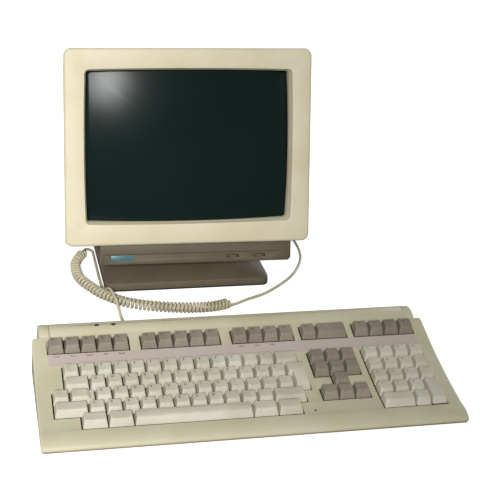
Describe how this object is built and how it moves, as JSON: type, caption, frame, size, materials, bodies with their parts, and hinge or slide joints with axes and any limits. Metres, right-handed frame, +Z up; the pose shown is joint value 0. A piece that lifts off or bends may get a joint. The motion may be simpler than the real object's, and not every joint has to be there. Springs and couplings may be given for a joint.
{
  "type": "computer terminal with keyboard",
  "caption": "Text display monitor on a swivelling, tilting ball foot, with a wide dished-bank keyboard joined by a coiled cord.",
  "frame": {"origin": "middle of the footprint, on the table, free cord apart", "axes": "+Z up, +Y away from the user (the user looks along +Y), +X to the user's right"},
  "size_m": [0.4826, 0.7453, 0.3233],
  "materials": {
    "bezel_plastic": "fine-grained warm beige moulding",
    "keyboard_plastic": "fine-grained grey-green beige moulding",
    "grey_brown_plastic": "fine-grained grey-brown moulding",
    "light_key_plastic": "worn satin key plastic, pale",
    "dark_key_plastic": "satin key plastic, brown-grey",
    "tube_glass": "dark tinted tube glass",
    "steel": "plated pressed steel",
    "rubber": "black moulded rubber",
    "circuit_board": "green lacquered circuit board",
    "copper_winding": "varnished copper winding on ferrite",
    "cord_sleeve": "satin beige cord sleeve",
    "black_plastic": "black socket plastic"
  },
  "bodies": {
    "stand_and_keyboard": {"foot_base": "grey_brown_plastic", "foot_rubber_ring": "rubber", "keyboard_top_case": "keyboard_plastic", "keyboard_bottom_case": "grey_brown_plastic", "key_guide_frame": "steel", "keyboard_circuit_board": "circuit_board", "status_light_pipe": "black_plastic", "front_rubber_strip": "rubber", "rear_rubber_strip": "rubber", "keyboard_plug": "black_plastic", "keyboard_lead": "cord_sleeve", "curly_cord": "cord_sleeve", "terminal_lead": "cord_sleeve"},
    "swivel_stage": {"swivel_dish": "grey_brown_plastic", "swivel_clip": "steel"},
    "monitor": {"front_bezel": "bezel_plastic", "rear_housing": "bezel_plastic", "chassis_tray": "grey_brown_plastic", "picture_tube": "tube_glass", "tube_rim_band": "steel", "deflection_yoke": "copper_winding", "tube_socket_board": "circuit_board", "main_board": "circuit_board", "flyback_transformer": "black_plastic", "serial_port": "steel", "communication_sockets": "black_plastic", "power_inlet": "black_plastic", "keyboard_jack": "black_plastic", "swivel_dome": "grey_brown_plastic", "terminal_plug": "black_plastic"},
    "brightness_wheel": {"brightness_wheel": "black_plastic"},
    "contrast_wheel": {"contrast_wheel": "black_plastic"},
    "power_switch": {"power_switch": "black_plastic"},
    "left_height_foot": {"left_height_foot": "keyboard_plastic"},
    "right_height_foot": {"right_height_foot": "keyboard_plastic"},
    "function_keys_f1_f5": {"function_keys_f1_f5": "dark_key_plastic"},
    "function_keys_f6_f10": {"function_keys_f6_f10": "dark_key_plastic"},
    "function_keys_f11_f14": {"function_keys_f11_f14": "dark_key_plastic"},
    "help_key": {"help_key": "dark_key_plastic"},
    "do_key": {"do_key": "dark_key_plastic"},
    "function_keys_f17_f20": {"function_keys_f17_f20": "dark_key_plastic"},
    "number_row_keys": {"number_row_keys": "light_key_plastic"},
    "delete_key": {"delete_key": "light_key_plastic"},
    "tab_key": {"tab_key": "light_key_plastic"},
    "top_letter_row_keys": {"top_letter_row_keys": "light_key_plastic"},
    "return_key": {"return_key": "light_key_plastic"},
    "control_key": {"control_key": "light_key_plastic"},
    "lock_key": {"lock_key": "light_key_plastic"},
    "home_letter_row_keys": {"home_letter_row_keys": "light_key_plastic"},
    "left_shift_key": {"left_shift_key": "light_key_plastic"},
    "bottom_letter_row_keys": {"bottom_letter_row_keys": "light_key_plastic"},
    "right_shift_key": {"right_shift_key": "light_key_plastic"},
    "space_bar": {"space_bar": "light_key_plastic"},
    "left_compose_keys": {"left_compose_keys": "light_key_plastic"},
    "right_compose_keys": {"right_compose_keys": "light_key_plastic"},
    "editing_keys": {"editing_keys": "dark_key_plastic"},
    "cursor_keys": {"cursor_keys": "dark_key_plastic"},
    "keypad_keys": {"keypad_keys": "light_key_plastic"},
    "keypad_enter_key": {"keypad_enter_key": "light_key_plastic"},
    "keypad_zero_key": {"keypad_zero_key": "light_key_plastic"}
  },
  "joints": [
    {"name": "swivel", "type": "hinge", "parent": "stand_and_keyboard", "child": "swivel_stage", "pos_m": [-0.0153, 0.11222, 0.13], "axis": [0, 0, 1], "range_deg": [-30, 30]},
    {"name": "tilt", "type": "hinge", "parent": "swivel_stage", "child": "monitor", "pos_m": [-0.0153, 0.11222, 0.13], "axis": [0.9996, -0.0283, 0], "range_deg": [-5, 7]},
    {"name": "brightness_turn", "type": "hinge", "parent": "monitor", "child": "brightness_wheel", "pos_m": [0.0452, 0.00524, 0.04529], "axis": [0.0073, 0.258, 0.9661], "range_deg": [-135, 135]},
    {"name": "contrast_turn", "type": "hinge", "parent": "monitor", "child": "contrast_wheel", "pos_m": [0.08209, 0.00419, 0.04529], "axis": [0.0073, 0.258, 0.9661], "range_deg": [-135, 135]},
    {"name": "power_rock", "type": "hinge", "parent": "monitor", "child": "power_switch", "pos_m": [-0.08927, 0.3265, 0.06343], "axis": [0.9996, -0.0283, 0], "range_deg": [0, 16]},
    {"name": "left_foot_turn", "type": "hinge", "parent": "stand_and_keyboard", "child": "left_height_foot", "pos_m": [-0.22645, -0.17988, 0.03], "axis": [1, 0, 0], "range_deg": [-50, 0]},
    {"name": "right_foot_turn", "type": "hinge", "parent": "stand_and_keyboard", "child": "right_height_foot", "pos_m": [0.22645, -0.17988, 0.03], "axis": [1, 0, 0], "range_deg": [-50, 0]},
    {"name": "function_keys_f1_f5_stroke", "type": "slide", "parent": "stand_and_keyboard", "child": "function_keys_f1_f5", "axis": [0, 0.3183, -0.948], "range_m": [0, 0.003], "stiffness_N_per_m": 900},
    {"name": "function_keys_f6_f10_stroke", "type": "slide", "parent": "stand_and_keyboard", "child": "function_keys_f6_f10", "axis": [0, 0.3183, -0.948], "range_m": [0, 0.003], "stiffness_N_per_m": 900},
    {"name": "function_keys_f11_f14_stroke", "type": "slide", "parent": "stand_and_keyboard", "child": "function_keys_f11_f14", "axis": [0, 0.3183, -0.948], "range_m": [0, 0.003], "stiffness_N_per_m": 720},
    {"name": "help_key_stroke", "type": "slide", "parent": "stand_and_keyboard", "child": "help_key", "axis": [0, 0.3183, -0.948], "range_m": [0, 0.003], "stiffness_N_per_m": 180},
    {"name": "do_key_stroke", "type": "slide", "parent": "stand_and_keyboard", "child": "do_key", "axis": [0, 0.3183, -0.948], "range_m": [0, 0.003], "stiffness_N_per_m": 180},
    {"name": "function_keys_f17_f20_stroke", "type": "slide", "parent": "stand_and_keyboard", "child": "function_keys_f17_f20", "axis": [0, 0.3183, -0.948], "range_m": [0, 0.003], "stiffness_N_per_m": 720},
    {"name": "number_row_keys_stroke", "type": "slide", "parent": "stand_and_keyboard", "child": "number_row_keys", "axis": [0, 0.2578, -0.9662], "range_m": [0, 0.003], "stiffness_N_per_m": 2340},
    {"name": "delete_key_stroke", "type": "slide", "parent": "stand_and_keyboard", "child": "delete_key", "axis": [0, 0.2578, -0.9662], "range_m": [0, 0.003], "stiffness_N_per_m": 180},
    {"name": "tab_key_stroke", "type": "slide", "parent": "stand_and_keyboard", "child": "tab_key", "axis": [0, 0.2275, -0.9738], "range_m": [0, 0.003], "stiffness_N_per_m": 180},
    {"name": "top_letter_row_keys_stroke", "type": "slide", "parent": "stand_and_keyboard", "child": "top_letter_row_keys", "axis": [0, 0.2275, -0.9738], "range_m": [0, 0.003], "stiffness_N_per_m": 2160},
    {"name": "return_key_stroke", "type": "slide", "parent": "stand_and_keyboard", "child": "return_key", "axis": [0, 0.2121, -0.9772], "range_m": [0, 0.003], "stiffness_N_per_m": 180},
    {"name": "control_key_stroke", "type": "slide", "parent": "stand_and_keyboard", "child": "control_key", "axis": [0, 0.1966, -0.9805], "range_m": [0, 0.003], "stiffness_N_per_m": 180},
    {"name": "lock_key_stroke", "type": "slide", "parent": "stand_and_keyboard", "child": "lock_key", "axis": [0, 0.1966, -0.9805], "range_m": [0, 0.003], "stiffness_N_per_m": 180},
    {"name": "home_letter_row_keys_stroke", "type": "slide", "parent": "stand_and_keyboard", "child": "home_letter_row_keys", "axis": [0, 0.1966, -0.9805], "range_m": [0, 0.003], "stiffness_N_per_m": 2160},
    {"name": "left_shift_key_stroke", "type": "slide", "parent": "stand_and_keyboard", "child": "left_shift_key", "axis": [0, 0.165, -0.9863], "range_m": [0, 0.003], "stiffness_N_per_m": 180},
    {"name": "bottom_letter_row_keys_stroke", "type": "slide", "parent": "stand_and_keyboard", "child": "bottom_letter_row_keys", "axis": [0, 0.165, -0.9863], "range_m": [0, 0.003], "stiffness_N_per_m": 1980},
    {"name": "right_shift_key_stroke", "type": "slide", "parent": "stand_and_keyboard", "child": "right_shift_key", "axis": [0, 0.165, -0.9863], "range_m": [0, 0.003], "stiffness_N_per_m": 180},
    {"name": "space_bar_stroke", "type": "slide", "parent": "stand_and_keyboard", "child": "space_bar", "axis": [0, 0.133, -0.9911], "range_m": [0, 0.003], "stiffness_N_per_m": 180},
    {"name": "left_compose_keys_stroke", "type": "slide", "parent": "stand_and_keyboard", "child": "left_compose_keys", "axis": [0, 0.133, -0.9911], "range_m": [0, 0.003], "stiffness_N_per_m": 360},
    {"name": "right_compose_keys_stroke", "type": "slide", "parent": "stand_and_keyboard", "child": "right_compose_keys", "axis": [0, 0.133, -0.9911], "range_m": [0, 0.003], "stiffness_N_per_m": 360},
    {"name": "editing_keys_stroke", "type": "slide", "parent": "stand_and_keyboard", "child": "editing_keys", "axis": [0, 0.2427, -0.9701], "range_m": [0, 0.003], "stiffness_N_per_m": 1080},
    {"name": "cursor_keys_stroke", "type": "slide", "parent": "stand_and_keyboard", "child": "cursor_keys", "axis": [0, 0.1809, -0.9835], "range_m": [0, 0.003], "stiffness_N_per_m": 720},
    {"name": "keypad_keys_stroke", "type": "slide", "parent": "stand_and_keyboard", "child": "keypad_keys", "axis": [0, 0.1966, -0.9805], "range_m": [0, 0.003], "stiffness_N_per_m": 2880},
    {"name": "keypad_enter_key_stroke", "type": "slide", "parent": "stand_and_keyboard", "child": "keypad_enter_key", "axis": [0, 0.1491, -0.9888], "range_m": [0, 0.003], "stiffness_N_per_m": 180},
    {"name": "keypad_zero_key_stroke", "type": "slide", "parent": "stand_and_keyboard", "child": "keypad_zero_key", "axis": [0, 0.133, -0.9911], "range_m": [0, 0.003], "stiffness_N_per_m": 180}
  ]
}
